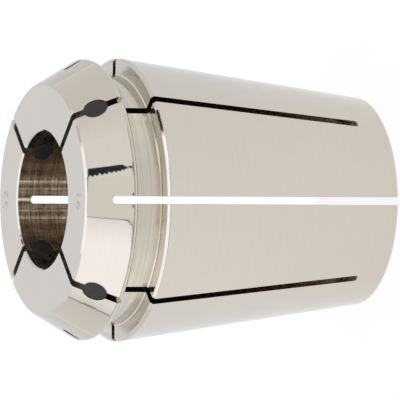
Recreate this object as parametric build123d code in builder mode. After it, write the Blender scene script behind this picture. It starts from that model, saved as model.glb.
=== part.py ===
from build123d import *
import os
from math import cos, radians, sin, tan

# A sealed spring collet for a tapered collet chuck, at real size in millimetres.
# It stands on its small rear end. The origin is the centre of that end,
# and +Z runs along the bore to the front face, where the tool goes in.

os.makedirs("parts", exist_ok=True)

# Turned body
body_length = 40.0  # rear end to front face
head_diameter = 33.0  # largest diameter of the taper
taper_angle = 8.0  # half angle of the taper that seats in the chuck
nose_angle = 30.0  # half angle of the nose cone that the nut presses on
nose_length = 5.5  # front face to the back of the nose flange
rim_step = 0.175  # nose flange beyond the head's radius, before its rim is rounded
groove_width = 3.5  # extraction groove that the nut's ring snaps into
groove_depth = 1.95  # groove floor below the head's radius
bore_diameter = 16.0  # clamps a 16 mm tool shank

# Edges
mouth_chamfer = 0.2  # bore, at the front face
bore_tail_chamfer = 0.3  # bore, at the rear end
taper_tail_chamfer = 0.35  # taper, at the rear end
shoulder_chamfer = 0.34  # taper, at the groove
face_chamfer = 0.2  # nose cone, at the front face
rim_round = 0.45  # nose flange, at the groove
groove_corner = 0.15  # bevel left by the tool in both corners of the groove

# Saw cuts. Each pass runs right across the body and opens two slots.
passes_per_end = 2
slot_width = 0.9
saw_radius = 90.0
saw_bevel = 0.22  # bevelled corners of the slitting saw's rim
front_bridge = 1.46  # metal left ahead of the rear cuts, on the axis
rear_bridge = 3.0  # metal left behind the front cuts, on the axis

# Seal plugs, one in a radial hole through each front-cut slot
seal_hole_diameter = 2.55
seal_setback = 2.4  # front face to the middle of the hole
seal_clearance = 0.01
seal_recess = 0.05  # plug ends, below the cone and the bore wall
tongue_reach = 0.2  # lip of the plug that runs on into the slot, towards the face

head_radius = head_diameter / 2
bore_radius = bore_diameter / 2
groove_radius = head_radius - groove_depth
rim_radius = head_radius + rim_step
face_radius = rim_radius - nose_length * tan(radians(nose_angle))
face_slope_radius = face_radius + face_chamfer * tan(radians(nose_angle))
flange_z = body_length - nose_length
shoulder_z = flange_z - groove_width
taper_top_z = shoulder_z - shoulder_chamfer
tail_radius = head_radius - taper_top_z * tan(radians(taper_angle))
tail_slope_radius = tail_radius + taper_tail_chamfer * tan(radians(taper_angle))
seal_z = body_length - seal_setback
seal_hole_radius = seal_hole_diameter / 2
pass_spacing = 180 / passes_per_end
front_cut_turn = pass_spacing / 2
seal_count = 2 * passes_per_end


def saw_disc(centre_z):
    # The space that one pass of the slitting saw takes, in the YZ plane
    with BuildPart() as disc:
        with BuildSketch(Plane.YZ):
            with Locations((0, centre_z)):
                Circle(saw_radius)
        extrude(amount=slot_width / 2, both=True)
        chamfer(disc.edges().filter_by(GeomType.CIRCLE), length=saw_bevel)
    return disc.part


def seal_plane(number):
    # Plane on the bore axis that faces out along one seal hole, with its X up
    turn = radians(front_cut_turn + number * pass_spacing)
    return Plane(origin=(0, 0, seal_z), x_dir=(0, 0, 1), z_dir=(cos(turn), sin(turn), 0))


rear_saw = saw_disc(body_length - front_bridge - saw_radius)
front_saw = saw_disc(rear_bridge + saw_radius)

# Body: one turned piece of spring steel, slit from both ends in turn
with BuildPart() as collet_body:
    with BuildSketch(Plane.XZ):
        with BuildLine():
            nose = FilletPolyline(
                (groove_radius + groove_corner, flange_z),
                (rim_radius, flange_z),
                (face_slope_radius, body_length - face_chamfer),
                radius=rim_round,
            )
            Polyline(
                nose @ 1,
                (face_radius - face_chamfer, body_length),
                (bore_radius + mouth_chamfer, body_length),
                (bore_radius, body_length - mouth_chamfer),
                (bore_radius, bore_tail_chamfer),
                (bore_radius + bore_tail_chamfer, 0),
                (tail_radius - taper_tail_chamfer, 0),
                (tail_slope_radius, taper_tail_chamfer),
                (head_radius, taper_top_z),
                (head_radius - shoulder_chamfer, shoulder_z),
                (groove_radius + groove_corner, shoulder_z),
                (groove_radius, shoulder_z + groove_corner),
                (groove_radius, flange_z - groove_corner),
                nose @ 0,
            )
        make_face()
    revolve(axis=Axis.Z)
    with PolarLocations(0, passes_per_end, angular_range=180):
        add(rear_saw, mode=Mode.SUBTRACT)
    with PolarLocations(0, passes_per_end, start_angle=front_cut_turn, angular_range=180):
        add(front_saw, mode=Mode.SUBTRACT)
    for number in range(seal_count):
        with BuildSketch(seal_plane(number)):
            Circle(seal_hole_radius)
        extrude(amount=rim_radius, mode=Mode.SUBTRACT)
collet_body.part.label = "collet_body"
export_step(collet_body.part, "parts/collet_body.step")

# Seal plugs: moulded rubber, cut to the cone outside and to the bore inside
for number in range(seal_count):
    with BuildPart() as seal_plug:
        with BuildSketch(Plane.XZ):
            with BuildLine():
                Polyline(
                    (bore_radius + seal_recess, flange_z),
                    (rim_radius - seal_recess, flange_z),
                    (face_radius - seal_recess, body_length),
                    (bore_radius + seal_recess, body_length),
                    close=True,
                )
            make_face()
        revolve(axis=Axis.Z)
        with BuildSketch(seal_plane(number)):
            Circle(seal_hole_radius - seal_clearance)
            Rectangle(
                seal_hole_radius + tongue_reach,
                slot_width - 2 * seal_clearance,
                align=(Align.MIN, Align.CENTER),
            )
        extrude(amount=rim_radius, mode=Mode.INTERSECT)
    seal_plug.part.label = f"seal_plug_{number + 1}"
    export_step(seal_plug.part, f"parts/seal_plug_{number + 1}.step")
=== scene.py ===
import bpy
import bmesh
import random
from math import asin, cos, hypot, pi, radians, sin, tan
from mathutils import Matrix, Vector


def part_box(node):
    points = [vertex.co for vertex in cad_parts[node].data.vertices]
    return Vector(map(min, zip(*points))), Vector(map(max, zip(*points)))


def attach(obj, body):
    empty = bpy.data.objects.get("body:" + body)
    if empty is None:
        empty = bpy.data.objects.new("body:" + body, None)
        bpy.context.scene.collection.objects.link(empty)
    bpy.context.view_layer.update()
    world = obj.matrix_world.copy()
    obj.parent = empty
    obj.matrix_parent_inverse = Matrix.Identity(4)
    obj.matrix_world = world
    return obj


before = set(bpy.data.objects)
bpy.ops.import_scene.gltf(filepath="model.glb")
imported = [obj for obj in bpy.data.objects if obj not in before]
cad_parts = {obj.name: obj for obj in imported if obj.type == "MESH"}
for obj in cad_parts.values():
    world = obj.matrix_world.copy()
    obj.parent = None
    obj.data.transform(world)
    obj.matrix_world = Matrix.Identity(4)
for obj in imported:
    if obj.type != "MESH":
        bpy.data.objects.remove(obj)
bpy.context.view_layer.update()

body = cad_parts["collet_body"]
bodyLow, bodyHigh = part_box("collet_body")
mm = 0.001


def linear(code):
    # sRGB hex to the linear colour that the shaders want
    parts = [int(code[i:i + 2], 16) / 255 for i in (1, 3, 5)]
    return [c / 12.92 if c <= 0.04045 else ((c + 0.055) / 1.055) ** 2.4 for c in parts] + [1]


def addNode(tree, kind, settings={}, links={}):
    node = tree.nodes.new("ShaderNode" + kind)
    for name, value in settings.items():
        if isinstance(name, str) and hasattr(node, name):
            setattr(node, name, value)
        else:
            node.inputs[name].default_value = value
    for name, source in links.items():
        tree.links.new(source, node.inputs[name])
    return node


def fromTo(tree, socket, span, values=(0, 1)):
    # A span of the socket's values mapped onto another pair of values
    return addNode(tree, "MapRange", {1: span[0], 2: span[1], 3: values[0], 4: values[1]}, {0: socket})


def newMaterial(name):
    material = bpy.data.materials.new(name)
    material.use_nodes = True
    material.node_tree.nodes.clear()
    return material, material.node_tree


def addObject(name, bm):
    mesh = bpy.data.meshes.new(name)
    bm.to_mesh(mesh)
    bm.free()
    obj = bpy.data.objects.new(name, mesh)
    bpy.context.scene.collection.objects.link(obj)
    return obj


# Camera: level with the front slots, turned so that the bore axis runs across the frame
cameraSizes = {
    "elevation": radians(22.98),
    "roll": radians(-0.24),
    "distance": 797.2 * mm,
    "aimHeight": 20 * mm,
    "aside": (0.060 * mm, -0.042 * mm),
    "lens": 612.5,
    "sensor": 36,
    "clip": (10 * mm, 20000 * mm),
}


def addCamera(s):
    e, roll = s["elevation"], s["roll"]
    right, up, back = Vector((0, -sin(e), -cos(e))), Vector((1, 0, 0)), Vector((0, -cos(e), sin(e)))
    right, up = right * cos(roll) - up * sin(roll), right * sin(roll) + up * cos(roll)
    place = Vector((0, 0, s["aimHeight"])) - right * s["aside"][0] - up * s["aside"][1]
    place += back * s["distance"]
    camera = bpy.data.objects.new("camera", bpy.data.cameras.new("camera"))
    camera.data.lens = s["lens"]
    camera.data.sensor_width = s["sensor"]
    camera.data.clip_start, camera.data.clip_end = s["clip"]
    camera.matrix_world = Matrix.Translation(place) @ Matrix((right, up, back)).transposed().to_4x4()
    bpy.context.scene.collection.objects.link(camera)
    bpy.context.scene.camera = camera


addCamera(cameraSizes)
print("camera placed")

# Places on the collet that finishes and lights need
boreRadius, shoulderZ, flangeZ = 8.0 * mm, 31.0 * mm, 34.5 * mm
sealZ, sealHoleRadius, sealCount = 37.6 * mm, 1.275 * mm, 4

# Steel of the collet: spring steel, hardened, as each machine left it. Lengths in metres.
# "pitch" is the spacing of the tool marks, "depth" how far they stand up, "edge" the worn corner,
# "cloud" the size of broad patches, and "hatch" the width of the hone's scratches.
steelSizes = {
    "groundSteel": {
        "light": "#d4cec6", "dark": "#d1cbc3", "rough": (0.035, 0.06),
        "pitch": 0.10 * mm, "depth": 0.00003 * mm, "edge": 0.2 * mm, "cloud": 5 * mm,
    },
    "polishedSteel": {
        "light": "#d4cec4", "dark": "#d1cbc1", "rough": (0.03, 0.05),
        "pitch": 0.10 * mm, "depth": 0.00002 * mm, "edge": 0.16 * mm, "cloud": 5 * mm,
    },
    "turnedSteel": {
        "light": "#d9d4cb", "dark": "#c3bdb2", "rough": (0.11, 0.2),
        "pitch": 0.24 * mm, "depth": 0.0004 * mm, "edge": 0.06 * mm, "cloud": 3 * mm,
    },
    "boredSteel": {
        "light": "#f8f2ea", "dark": "#9d9285", "rough": (0.03, 0.08), "contrast": 0.12,
        "pitch": 0.2 * mm, "depth": 0.003 * mm, "edge": 0.02 * mm, "cloud": 1.2 * mm,
        "metal": 0.975, "hatch": 0.16 * mm, "hatchAngle": radians(17), "hatchLength": 25,
        "hatchFrom": (0.58, 0.66), "hatchTone": 2, "burr": 0.4,
    },
    "slotSteel": {
        "light": "#ddd7ce", "dark": "#cac3b9", "rough": (0.08, 0.14),
        "pitch": 0.15 * mm, "depth": 0.0006 * mm, "edge": 0.06 * mm, "cloud": 1 * mm,
    },
    "sawnSteel": {
        "light": "#e6ddd0", "dark": "#c9bfb0", "rough": (0.25, 0.4), "metal": 0.5,
        "pitch": 0.15 * mm, "depth": 0.003 * mm, "edge": 0.06 * mm, "cloud": 1 * mm,
    },
    "rubbedSteel": {
        "light": "#e6dfd4", "dark": "#d3ccc0", "rough": (0.16, 0.24), "metal": 0.9,
        "pitch": 0.15 * mm, "depth": 0.0004 * mm, "edge": 0.04 * mm, "cloud": 1 * mm,
    },
}
arcStretch = 120  # tool marks run this many times longer round the axis than their pitch
cloudShare = 0.3  # of the tone, against the tool marks
plainContrast = 0.15  # noise this far from its middle has the full light or dark tone
markRange = (0.3, 0.7)  # noise that gives the smoothest and the roughest mark
wornSamples = 6


def machinedSteel(name, s):
    # Tool marks lie in rings round the bore axis, on cylinders, cones and flat faces alike
    material, tree = newMaterial(name)
    place = addNode(tree, "TexCoord").outputs["Object"]
    parts = addNode(tree, "SeparateXYZ", {}, {0: place})
    flat = addNode(tree, "CombineXYZ", {}, {0: parts.outputs[0], 1: parts.outputs[1]})
    radius = addNode(tree, "VectorMath", {"operation": "LENGTH"}, {0: flat.outputs[0]})
    feed = addNode(tree, "Math", {"operation": "SUBTRACT"}, {0: parts.outputs[2], 1: radius.outputs["Value"]})
    feed = addNode(tree, "Math", {"operation": "MULTIPLY", 1: arcStretch}, {0: feed.outputs[0]})
    rings = addNode(tree, "CombineXYZ", {}, {0: parts.outputs[0], 1: parts.outputs[1], 2: feed.outputs[0]})
    marks = addNode(tree, "TexNoise", {"Scale": 1 / (s["pitch"] * arcStretch), "Detail": 3},
                    {0: rings.outputs[0]})
    cloud = addNode(tree, "TexNoise", {"Scale": 1 / s["cloud"], "Detail": 2}, {0: place})
    tone = addNode(tree, "Mix", {"data_type": "FLOAT", "Factor": cloudShare},
                   {2: marks.outputs[0], 3: cloud.outputs[0]})
    spread = s.get("contrast", plainContrast)
    tone = fromTo(tree, tone.outputs[0], (0.5 - spread, 0.5 + spread))
    height = marks
    if "hatch" in s:  # sparse scratches left by the hone, at a shallow angle to the rings
        turn = addNode(tree, "Math", {"operation": "ARCTAN2"}, {0: parts.outputs[1], 1: parts.outputs[0]})
        arc = addNode(tree, "Math", {"operation": "MULTIPLY", 1: boreRadius}, {0: turn.outputs[0]})
        wall = addNode(tree, "CombineXYZ", {}, {0: arc.outputs[0], 1: parts.outputs[2]})
        stretch = (1 / s["hatchLength"], 1, 1)
        lines = addNode(tree, "Mapping", {"Rotation": (0, 0, s["hatchAngle"]), "Scale": stretch},
                        {0: wall.outputs[0]})
        scratch = addNode(tree, "TexNoise", {"Scale": 1 / s["hatch"], "Detail": 2}, {0: lines.outputs[0]})
        scratch = fromTo(tree, scratch.outputs[0], s["hatchFrom"], (0, s["hatchTone"]))
        tone = addNode(tree, "Math", {"operation": "ADD"}, {0: tone.outputs[0], 1: scratch.outputs[0]})
        height = addNode(tree, "Math", {"operation": "MULTIPLY_ADD", 1: s["burr"]},
                         {0: scratch.outputs[0], 2: marks.outputs[0]})
    colour = addNode(tree, "Mix", {"data_type": "RGBA", 6: linear(s["dark"]), 7: linear(s["light"])},
                     {0: tone.outputs[0]})
    rough = fromTo(tree, marks.outputs[0], markRange, s["rough"])
    edge = addNode(tree, "Bevel", {"samples": wornSamples, "Radius": s["edge"]})
    bump = addNode(tree, "Bump", {"Strength": 1, "Distance": s["depth"]},
                   {"Height": height.outputs[0], "Normal": edge.outputs[0]})
    shader = addNode(tree, "BsdfPrincipled", {"Metallic": s.get("metal", 1)}, {
        "Base Color": colour.outputs[2], "Roughness": rough.outputs[0], "Normal": bump.outputs[0]})
    addNode(tree, "OutputMaterial", {}, {0: shader.outputs[0]})
    return material


rubberSizes = {"dark": "#161413", "light": "#2f2c2a", "grain": 0.13 * mm, "depth": 0.008 * mm,
               "spread": (0.35, 0.65), "rough": 0.55}


def mouldedRubber(s):
    # Nitrile rubber, moulded in a blasted die: near black, dull and finely grained
    material, tree = newMaterial("mouldedRubber")
    place = addNode(tree, "TexCoord").outputs["Object"]
    grain = addNode(tree, "TexNoise", {"Scale": 1 / s["grain"], "Detail": 2}, {0: place})
    tone = fromTo(tree, grain.outputs[0], s["spread"])
    colour = addNode(tree, "Mix", {"data_type": "RGBA", 6: linear(s["dark"]), 7: linear(s["light"])},
                     {0: tone.outputs[0]})
    bump = addNode(tree, "Bump", {"Strength": 1, "Distance": s["depth"]}, {"Height": grain.outputs[0]})
    shader = addNode(tree, "BsdfPrincipled", {"Roughness": s["rough"]},
                     {"Base Color": colour.outputs[2], "Normal": bump.outputs[0]})
    addNode(tree, "OutputMaterial", {}, {0: shader.outputs[0]})
    return material


finishNames = ["groundSteel", "polishedSteel", "turnedSteel", "boredSteel", "slotSteel", "sawnSteel",
               "rubbedSteel"]
ground, polished, turned, bored, slotWall, sawn, rubbed, bonded = range(8)
# How finishOf tells the faces apart, by their middles and by how square they stand
finishSizes = {
    "reach": 0.02 * mm,  # past the edge of a seal's hole or the bore wall
    "boreEdge": 0.3 * mm,  # skin next to the bore, which holds its chamfers
    "ends": (1 * mm, 39.5 * mm),  # slots' ends lie between these heights
    "halfSlot": 0.44 * mm,
    "wallReach": 0.2 * mm,  # on either side of the groove's walls
    "grooveReach": 0.01 * mm,
}


def finishOf(face, s):
    # Which machine left this face of the body
    c, n = face.center, face.normal
    r = hypot(c.x, c.y)
    outward = (n.x * c.x + n.y * c.y) / r
    around = abs(n.y * c.x - n.x * c.y) / r
    aside = min(abs(c.x - c.y), abs(c.x + c.y)) / 2 ** 0.5
    if abs(outward) < 0.5 and hypot(aside, c.z - sealZ) < sealHoleRadius + s["reach"]:
        return bonded  # rubber left on the wall of a seal's hole
    if around > 0.5:
        return slotWall
    if outward < -0.9 and r < boreRadius + s["reach"]:
        return bored
    slotPlane = min(abs(c.x), abs(c.y), aside)
    inside = r > boreRadius + s["boreEdge"] and s["ends"][0] < c.z < s["ends"][1] and outward < 0.45
    wall = min(abs(c.z - shoulderZ), abs(c.z - flangeZ)) < s["wallReach"]
    if slotPlane < s["halfSlot"] and inside and not wall and abs(n.z) > 0.3:
        return sawn  # the arc that the saw's rim leaves at the end of a slot
    if shoulderZ - s["grooveReach"] < c.z < flangeZ + s["grooveReach"]:
        return rubbed if 0.5 < abs(n.z) < 0.9 else turned  # the tool rubs in the corners
    return polished if c.z > flangeZ else ground


body.data.materials.clear()
for name in finishNames:
    body.data.materials.append(machinedSteel(name, steelSizes[name]))
rubber = mouldedRubber(rubberSizes)
body.data.materials.append(rubber)
for face in body.data.polygons:
    face.material_index = finishOf(face, finishSizes)
print("steel finished")

plugSizes = {"lip": 0.13 * mm, "lipSteps": 3, "sharp": radians(40)}
for number in range(1, sealCount + 1):
    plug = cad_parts[f"seal_plug_{number}"]
    plug.data.materials.clear()
    plug.data.materials.append(rubber)
    plug.modifiers.new("weld", "WELD").merge_threshold = 0.001 * mm
    lip = plug.modifiers.new("lip", "BEVEL")
    lip.width, lip.segments = plugSizes["lip"], plugSizes["lipSteps"]
    lip.limit_method, lip.angle_limit = "ANGLE", plugSizes["sharp"]
print("seals finished")

# Laser marks on the front face: plain numbers for the bore and the collet size
markSizes = {
    "height": 1.2 * mm, "width": 1.35, "thickness": 0.004 * mm, "radius": 11.3 * mm, "bold": 0.03 * mm,
    "digit": 0.7,  # height of a digit, as a share of the font's size
    "texts": {"boreMark": ("16", 0), "sizeMark": ("32", 180)},
    "colour": "#b9b1a6", "dull": "#c4bcb1", "rough": 0.4, "grain": 0.12 * mm,
}


def laserMark(s):
    # Steel tempered and roughened by a marking laser: a dull, slightly darker grey
    material, tree = newMaterial("laserMark")
    place = addNode(tree, "TexCoord").outputs["Object"]
    grain = addNode(tree, "TexNoise", {"Scale": 1 / s["grain"], "Detail": 2}, {0: place})
    colour = addNode(tree, "Mix", {"data_type": "RGBA", 6: linear(s["colour"]), 7: linear(s["dull"])},
                     {0: grain.outputs[0]})
    shader = addNode(tree, "BsdfPrincipled", {"Metallic": 1, "Roughness": s["rough"]},
                     {"Base Color": colour.outputs[2]})
    addNode(tree, "OutputMaterial", {}, {0: shader.outputs[0]})
    return material


def addMarks(s):
    finish = laserMark(s)
    for name, (text, turn) in s["texts"].items():
        curve = bpy.data.curves.new(name, "FONT")
        curve.body, curve.size = text, s["height"] / s["digit"]
        curve.align_x, curve.align_y = "CENTER", "CENTER"
        curve.extrude, curve.resolution_u, curve.offset = s["thickness"] / 2, 4, s["bold"]
        draft = bpy.data.objects.new(name + "Draft", curve)
        bpy.context.scene.collection.objects.link(draft)
        bpy.context.view_layer.update()
        mesh = bpy.data.meshes.new_from_object(draft.evaluated_get(bpy.context.evaluated_depsgraph_get()))
        bpy.data.objects.remove(draft)
        mesh.name = name
        place = Matrix.Rotation(radians(turn), 4, "Z")
        place @= Matrix.Translation((0, -s["radius"], bodyHigh.z)) @ Matrix.Rotation(pi, 4, "Z")
        mesh.transform(place @ Matrix.Diagonal((s["width"], 1, 1, 1)))
        mark = bpy.data.objects.new(name, mesh)
        bpy.context.scene.collection.objects.link(mark)
        mark.data.materials.clear()
        mark.data.materials.append(finish)
        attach(mark, "root")


addMarks(markSizes)
print("marks made")


# Studio: a white bench, a white room and reflector cards that only polished metal sees
stageSizes = {"half": 3.0, "glow": 0.9, "share": 0.14, "paint": 0.8, "room": 0.8}
# How the bench shows in polished metal: a painted pool of light, brighter on the side of the softbox and
# fading far in front, cooler behind
benchLook = {"side": (-45 * mm, 45 * mm), "glow": (0.93, 0.83), "depth": (-20 * mm, 60 * mm),
             "front": "#fffdf8", "back": "#e9f0f8", "fall": (-200 * mm, -60 * mm), "far": 0.4,
             "behind": (90 * mm, 200 * mm), "wall": "#e5e6e8"}
directRays = ["Is Camera Ray", "Is Glossy Ray", "Is Transmission Ray"]


def litRays(tree, outputs):
    seen = addNode(tree, "LightPath")
    total = seen.outputs[outputs[0]]
    for name in outputs[1:]:
        total = addNode(tree, "Math", {"operation": "MAXIMUM"}, {0: total, 1: seen.outputs[name]}).outputs[0]
    return total


def whiteBench(s, look):
    material, tree = newMaterial("whiteBench")
    parts = addNode(tree, "SeparateXYZ", {}, {0: addNode(tree, "TexCoord").outputs["Object"]})
    # painted light in the bench's mirrored glow: brighter on the side of the softbox
    side = fromTo(tree, parts.outputs[0], look["side"], look["glow"])
    depth = fromTo(tree, parts.outputs[1], look["depth"])
    tint = addNode(tree, "Mix", {"data_type": "RGBA", 6: linear(look["front"]), 7: linear(look["back"])},
                   {0: depth.outputs[0]})
    behind = fromTo(tree, parts.outputs[1], look["behind"])
    tint = addNode(tree, "Mix", {"data_type": "RGBA", 7: linear(look["wall"])},
                   {0: behind.outputs[0], 6: tint.outputs[2]})
    # painted falloff: the bench's mirrored glow drops to "far" towards the front
    fall = fromTo(tree, parts.outputs[1], look["fall"], (look["far"], 1))
    level = addNode(tree, "Math", {"operation": "MULTIPLY"}, {0: side.outputs[0], 1: fall.outputs[0]})
    mirrored = addNode(tree, "Emission", {}, {"Color": tint.outputs[2], "Strength": level.outputs[0]})
    direct = addNode(tree, "Emission", {"Color": (1, 1, 1, 1), "Strength": s["glow"]})
    glow = addNode(tree, "MixShader", {}, {0: litRays(tree, ["Is Glossy Ray"]), 1: direct.outputs[0],
                                           2: mirrored.outputs[0]})
    shade = addNode(tree, "BsdfDiffuse", {"Color": (s["share"],) * 3 + (1,)})
    bright = addNode(tree, "AddShader", {}, {0: glow.outputs[0], 1: shade.outputs[0]})
    plain = addNode(tree, "BsdfDiffuse", {"Color": (s["paint"],) * 3 + (1,)})
    seen = litRays(tree, directRays)
    mix = addNode(tree, "MixShader", {}, {0: seen, 1: plain.outputs[0], 2: bright.outputs[0]})
    addNode(tree, "OutputMaterial", {}, {0: mix.outputs[0]})
    return material


bm = bmesh.new()
bmesh.ops.create_grid(bm, x_segments=1, y_segments=1, size=stageSizes["half"])
floor = addObject("floor", bm)
floor.location = (0, 0, bodyLow.z)
floor.data.materials.append(whiteBench(stageSizes, benchLook))

world = bpy.data.worlds.new("studio")
bpy.context.scene.world = world
world.use_nodes = True
tree = world.node_tree
tree.nodes.clear()
soft = addNode(tree, "Background", {"Color": (1, 1, 1, 1), "Strength": stageSizes["room"]})
white = addNode(tree, "Background", {"Color": (1, 1, 1, 1), "Strength": 1})
seen = litRays(tree, directRays)
mix = addNode(tree, "MixShader", {}, {0: seen, 1: soft.outputs[0], 2: white.outputs[0]})
addNode(tree, "OutputWorld", {}, {0: mix.outputs[0]})

# Each card is a piece of a sphere round the nose: degrees round from the front, then up.
# Its glow runs from the first value to the second over the angles in "fade".
cardSizes = {
    "lowerSoftbox": {"round": (-82, -36), "up": (12, 41), "glow": (1.42, 1.36), "tint": "#fcfafe",
                     "fade": (-44, -36)},
    "softboxTail": {"round": (-106.9, -82), "up": (12, 41), "glow": (1, 1.42), "tint": "#fcfafe",
                    "fade": (-106.9, -84)},
    "tailEdge": {"round": (-108.1, -106.9), "up": (12, 41), "glow": (0.35, 0.35), "tint": "#ffffff"},
    "softboxCorner": {"round": (-36, -18.4), "up": (33, 41), "glow": (1.36, 1.14), "tint": "#fcfafe",
                      "fade": (-36, -18.4)},
    "joinSoftbox": {"round": (-118, -18.4), "up": (41, 60), "glow": (1.42, 1.42), "tint": "#fcfafe"},
    "upperSoftbox": {"round": (-118, 118), "up": (60, 80), "glow": (1.54, 1.54), "tint": "#fbf9ff"},
    "topSoftbox": {"round": (-180, 180), "up": (80, 90), "glow": (1.54, 1.54), "tint": "#fbf9ff"},
    "sideSoftbox": {"round": (31, 75), "up": (46, 60), "glow": (1.54, 1.54), "tint": "#fdfbf6"},
    "frontPanel": {"round": (-17.6, 22.5), "up": (28, 39.5), "glow": (0.95, 0.95), "tint": "#fffefa"},
    "blackFlag": {"round": (77, 88), "up": (47.5, 53.5), "glow": (0.8, 0.05), "tint": "#fff2e6",
                  "fade": (77, 80)},
    "flagTail": {"round": (88, 98), "up": (44, 50.5), "glow": (0.05, 0.05), "tint": "#fff2e6"},
    "faceFlag": {"round": (108, 132), "up": (53, 62.5), "glow": (0.8, 0.8), "tint": "#fff2e6"},
    "grooveCard": {"round": (-36, 31), "up": (17.5, 26), "glow": (2, 1.35), "tint": "#fffaf2",
                   "fade": (-27, -21)},
    "cornerShade": {"round": (19, 31), "up": (0, 17.5), "glow": (0.05, 0.05), "tint": "#ffffff"},
    "panelGap": {"round": (-18.4, -17.6), "up": (12, 41), "glow": (0.4, 0.4), "tint": "#ffffff"},
    "panelRim": {"round": (-17.6, 31), "up": (40, 59), "glow": (0.3, 0.3), "tint": "#ffffff"},
    "cornerFoot": {"round": (-36, -18.4), "up": (26, 33), "glow": (0.5, 0.05), "tint": "#fff6ec",
                   "fade": (-36, -18.4)},
    "softboxFoot": {"round": (-109, -36), "up": (2, 12), "glow": (0.6, 0.3), "tint": "#fff6ec",
                    "fade": (-60, -36)},
    "panelFoot": {"round": (-18.4, 19), "up": (0, 17.5), "glow": (0.4, 0.4), "tint": "#fff6ec"},
    "softboxEdge": {"round": (-40, -18.4), "up": (0, 17.5), "glow": (0.1, 0.1), "tint": "#fff6ec"},
    "sideFoot": {"round": (31, 60), "up": (2, 17), "glow": (0.6, 0.6), "tint": "#fff6ec"},
    "rightWing": {"round": (60, 169), "up": (0, 43), "glow": (1, 0.84), "tint": "#fffdfa", "fade": (60, 95)},
    "backCard": {"round": (169, 191), "up": (0, 43), "glow": (0.98, 0.98), "tint": "#f8faff"},
    "leftWing": {"round": (-169, -108.1), "up": (0, 34), "glow": (0.92, 0.85), "tint": "#fffdfa",
                 "fade": (-150, -108.1)},
}
cardRing = {"radius": 0.9, "centre": (0, -10 * mm, 37 * mm), "step": radians(3)}


def glowOf(name, tint, strength):
    material, tree = newMaterial(name)
    glow = addNode(tree, "Emission", {"Color": linear(tint), "Strength": strength})
    addNode(tree, "OutputMaterial", {}, {0: glow.outputs[0]})
    return material, tree, glow


def onlyMirrored(card):
    card.visible_camera = card.visible_diffuse = card.visible_shadow = False
    card.visible_transmission = card.visible_volume_scatter = False


def addCard(name, s, ring):
    roundLow, roundHigh, upLow, upHigh = [radians(v) for v in s["round"] + s["up"]]
    bm = bmesh.new()
    start = Vector((0, -ring["radius"] * cos(upLow), ring["radius"] * sin(upLow)))
    vert = bmesh.ops.create_vert(bm, co=Matrix.Rotation(roundLow, 3, "Z") @ start)["vert"]
    across = Matrix.Rotation(roundLow, 3, "Z") @ Vector((-1, 0, 0))
    bmesh.ops.spin(bm, geom=vert, cent=(0, 0, 0), axis=across, dvec=(0, 0, 0),
                   angle=upHigh - upLow, steps=max(2, round((upHigh - upLow) / ring["step"])))
    bmesh.ops.spin(bm, geom=bm.verts[:] + bm.edges[:], cent=(0, 0, 0), axis=(0, 0, 1), dvec=(0, 0, 0),
                   angle=roundHigh - roundLow, steps=max(2, round((roundHigh - roundLow) / ring["step"])))
    card = addObject(name, bm)
    card.location = ring["centre"]
    material, tree, glow = glowOf(name, s["tint"], s["glow"][0])
    if "fade" in s:
        parts = addNode(tree, "SeparateXYZ", {}, {0: addNode(tree, "TexCoord").outputs["Object"]})
        ahead = addNode(tree, "Math", {"operation": "MULTIPLY", 1: -1}, {0: parts.outputs[1]})
        turn = addNode(tree, "Math", {"operation": "ARCTAN2"}, {0: parts.outputs[0], 1: ahead.outputs[0]})
        fade = fromTo(tree, turn.outputs[0], [radians(v) for v in s["fade"]], s["glow"])
        tree.links.new(fade.outputs[0], glow.inputs["Strength"])
    card.data.materials.append(material)
    onlyMirrored(card)


for name, sizes in cardSizes.items():
    addCard(name, sizes, cardRing)

# Painted reflections close to the nose, seen only in polished metal: a faintly glowing dark strip and painted
# lines, ticks and shade. Each is given by where it shows in the nose: degrees round from the front, then
# height in millimetres. The dark strip has a torn foot.
nearSizes = {"away": 15 * mm, "rim": 16.675 * mm, "round": 0.45 * mm, "tilt": radians(30)}
# painted reflection: a faintly glowing near-black strip that the nose mirrors as a dark band
paintedStripSizes = {
    "top": [(15, 39.6), (15, 37.8), (15, 36.2), (13.4, 35.6)],
    "foot": [(10.5, 39.7), (11.3, 37.9), (12.1, 36.3), (13.1, 35.6)],
    "teeth": 11, "bite": (0.2, 0.4), "seed": 7, "tint": "#34363c",
}
# painted reflections: thin dark lines, ticks, a pale patch and soft shade that the nose mirrors near its rim
paintedPatchSizes = {
    "paintedSoftboxLine": {"tint": "#5c5348", "points": [
        (-8.1, 36.2), (-8.3, 35.6), (-10, 35.28), (-12, 35.13),
        (-12, 35.17), (-10, 35.4), (-8.6, 35.7), (-8.4, 36.2)]},
    "paintedCornerPatch": {"tint": "#f9f7f3", "points": [
        (-8, 35.6), (-8, 35.2), (-12, 35.12), (-10, 35.28), (-8.3, 35.6)]},
    "paintedPanelLine": {"tint": "#5f5a50", "points": [
        (14, 35.6), (14, 35.35), (13, 35.14), (11, 35.15), (13, 35.35), (13.5, 35.6)]},
    "paintedRimShade": {"tint": "#d6d1c8", "points": [(14, 35.55), (16, 35.08), (13, 35.13), (14, 35.35)]},
    "paintedUpperTick": {"tint": "#1c1916", "points": [(3.4, 35.28), (3.4, 35.14), (1.8, 35.14), (1.8, 35.28)]},
    "paintedLowerTick": {"tint": "#2c2823", "points": [(-2.2, 35.28), (-2.2, 35.14), (-3.5, 35.14), (-3.5, 35.28)]},
    "paintedEdgeLine": {"tint": "#b0aaa0", "points": [(11, 39.8), (11, 39.6), (1.5, 39.8)]},
}


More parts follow.
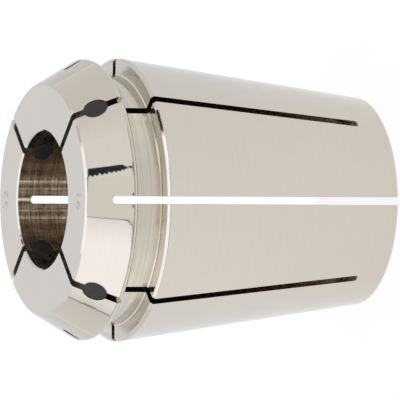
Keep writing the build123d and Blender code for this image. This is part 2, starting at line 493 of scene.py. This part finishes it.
def noseSkin(height, s):
    # Radius and tilt of the nose's skin: a rounded rim, then the cone
    tilt, bend = s["tilt"], s["round"]
    bendZ, bendRadius = flangeZ + bend, s["rim"] - bend * tan(tilt) - bend / cos(tilt)
    if height < bendZ + bend * sin(tilt):
        tilt = asin((height - bendZ) / bend)
        return bendRadius + bend * cos(tilt), tilt
    return s["rim"] - (height - flangeZ) * tan(tilt), tilt


def nearPlace(spot, s):
    # A place close to the nose that the nose mirrors to the camera from this spot of its skin
    turn, height = radians(spot[0]), spot[1] * mm
    radius, tilt = noseSkin(height, s)
    outward, up = Vector((sin(turn), -cos(turn), 0)), Vector((0, 0, 1))
    point = outward * radius + up * height
    sight = (point - bpy.context.scene.camera.matrix_world.translation).normalized()
    return point + sight.reflect(outward * cos(tilt) + up * sin(tilt)) * s["away"]


def alongLine(spots, share):
    place = share * (len(spots) - 1)
    first = min(int(place), len(spots) - 2)
    return Vector(spots[first]).lerp(Vector(spots[first + 1]), place - first)


# Builds the painted dark strip: a glowing piece that only polished metal sees
def addPaintedStrip(s, near):
    bm = bmesh.new()
    dice = random.Random(s["seed"])
    steps = 2 * s["teeth"]
    rows = []
    for step in range(steps + 1):
        top, foot = [nearPlace(alongLine(s[edge], step / steps), near) for edge in ("top", "foot")]
        bite = dice.uniform(*s["bite"]) if step % 2 else 0
        rows.append((bm.verts.new(top), bm.verts.new(foot.lerp(top, bite))))
    for (topA, footA), (topB, footB) in zip(rows, rows[1:]):
        bm.faces.new((topA, topB, footB, footA))
    stripPiece = addObject("paintedDarkStrip", bm)
    stripPiece.data.materials.append(glowOf("paintedDarkStrip", s["tint"], 1)[0])
    onlyMirrored(stripPiece)


addPaintedStrip(paintedStripSizes, nearSizes)
# each painted patch glows in its tint and shows only mirrored in the nose
for name, sizes in paintedPatchSizes.items():
    bm = bmesh.new()
    bm.faces.new([bm.verts.new(nearPlace(spot, nearSizes)) for spot in sizes["points"]])
    patchPiece = addObject(name, bm)
    patchPiece.data.materials.append(glowOf(name, sizes["tint"], 1)[0])
    onlyMirrored(patchPiece)

boreBounces = 24  # light is mirrored many times on its way out of the bore
scene = bpy.context.scene
scene.view_settings.view_transform = "Standard"
scene.cycles.max_bounces = scene.cycles.glossy_bounces = boreBounces
print("studio built")
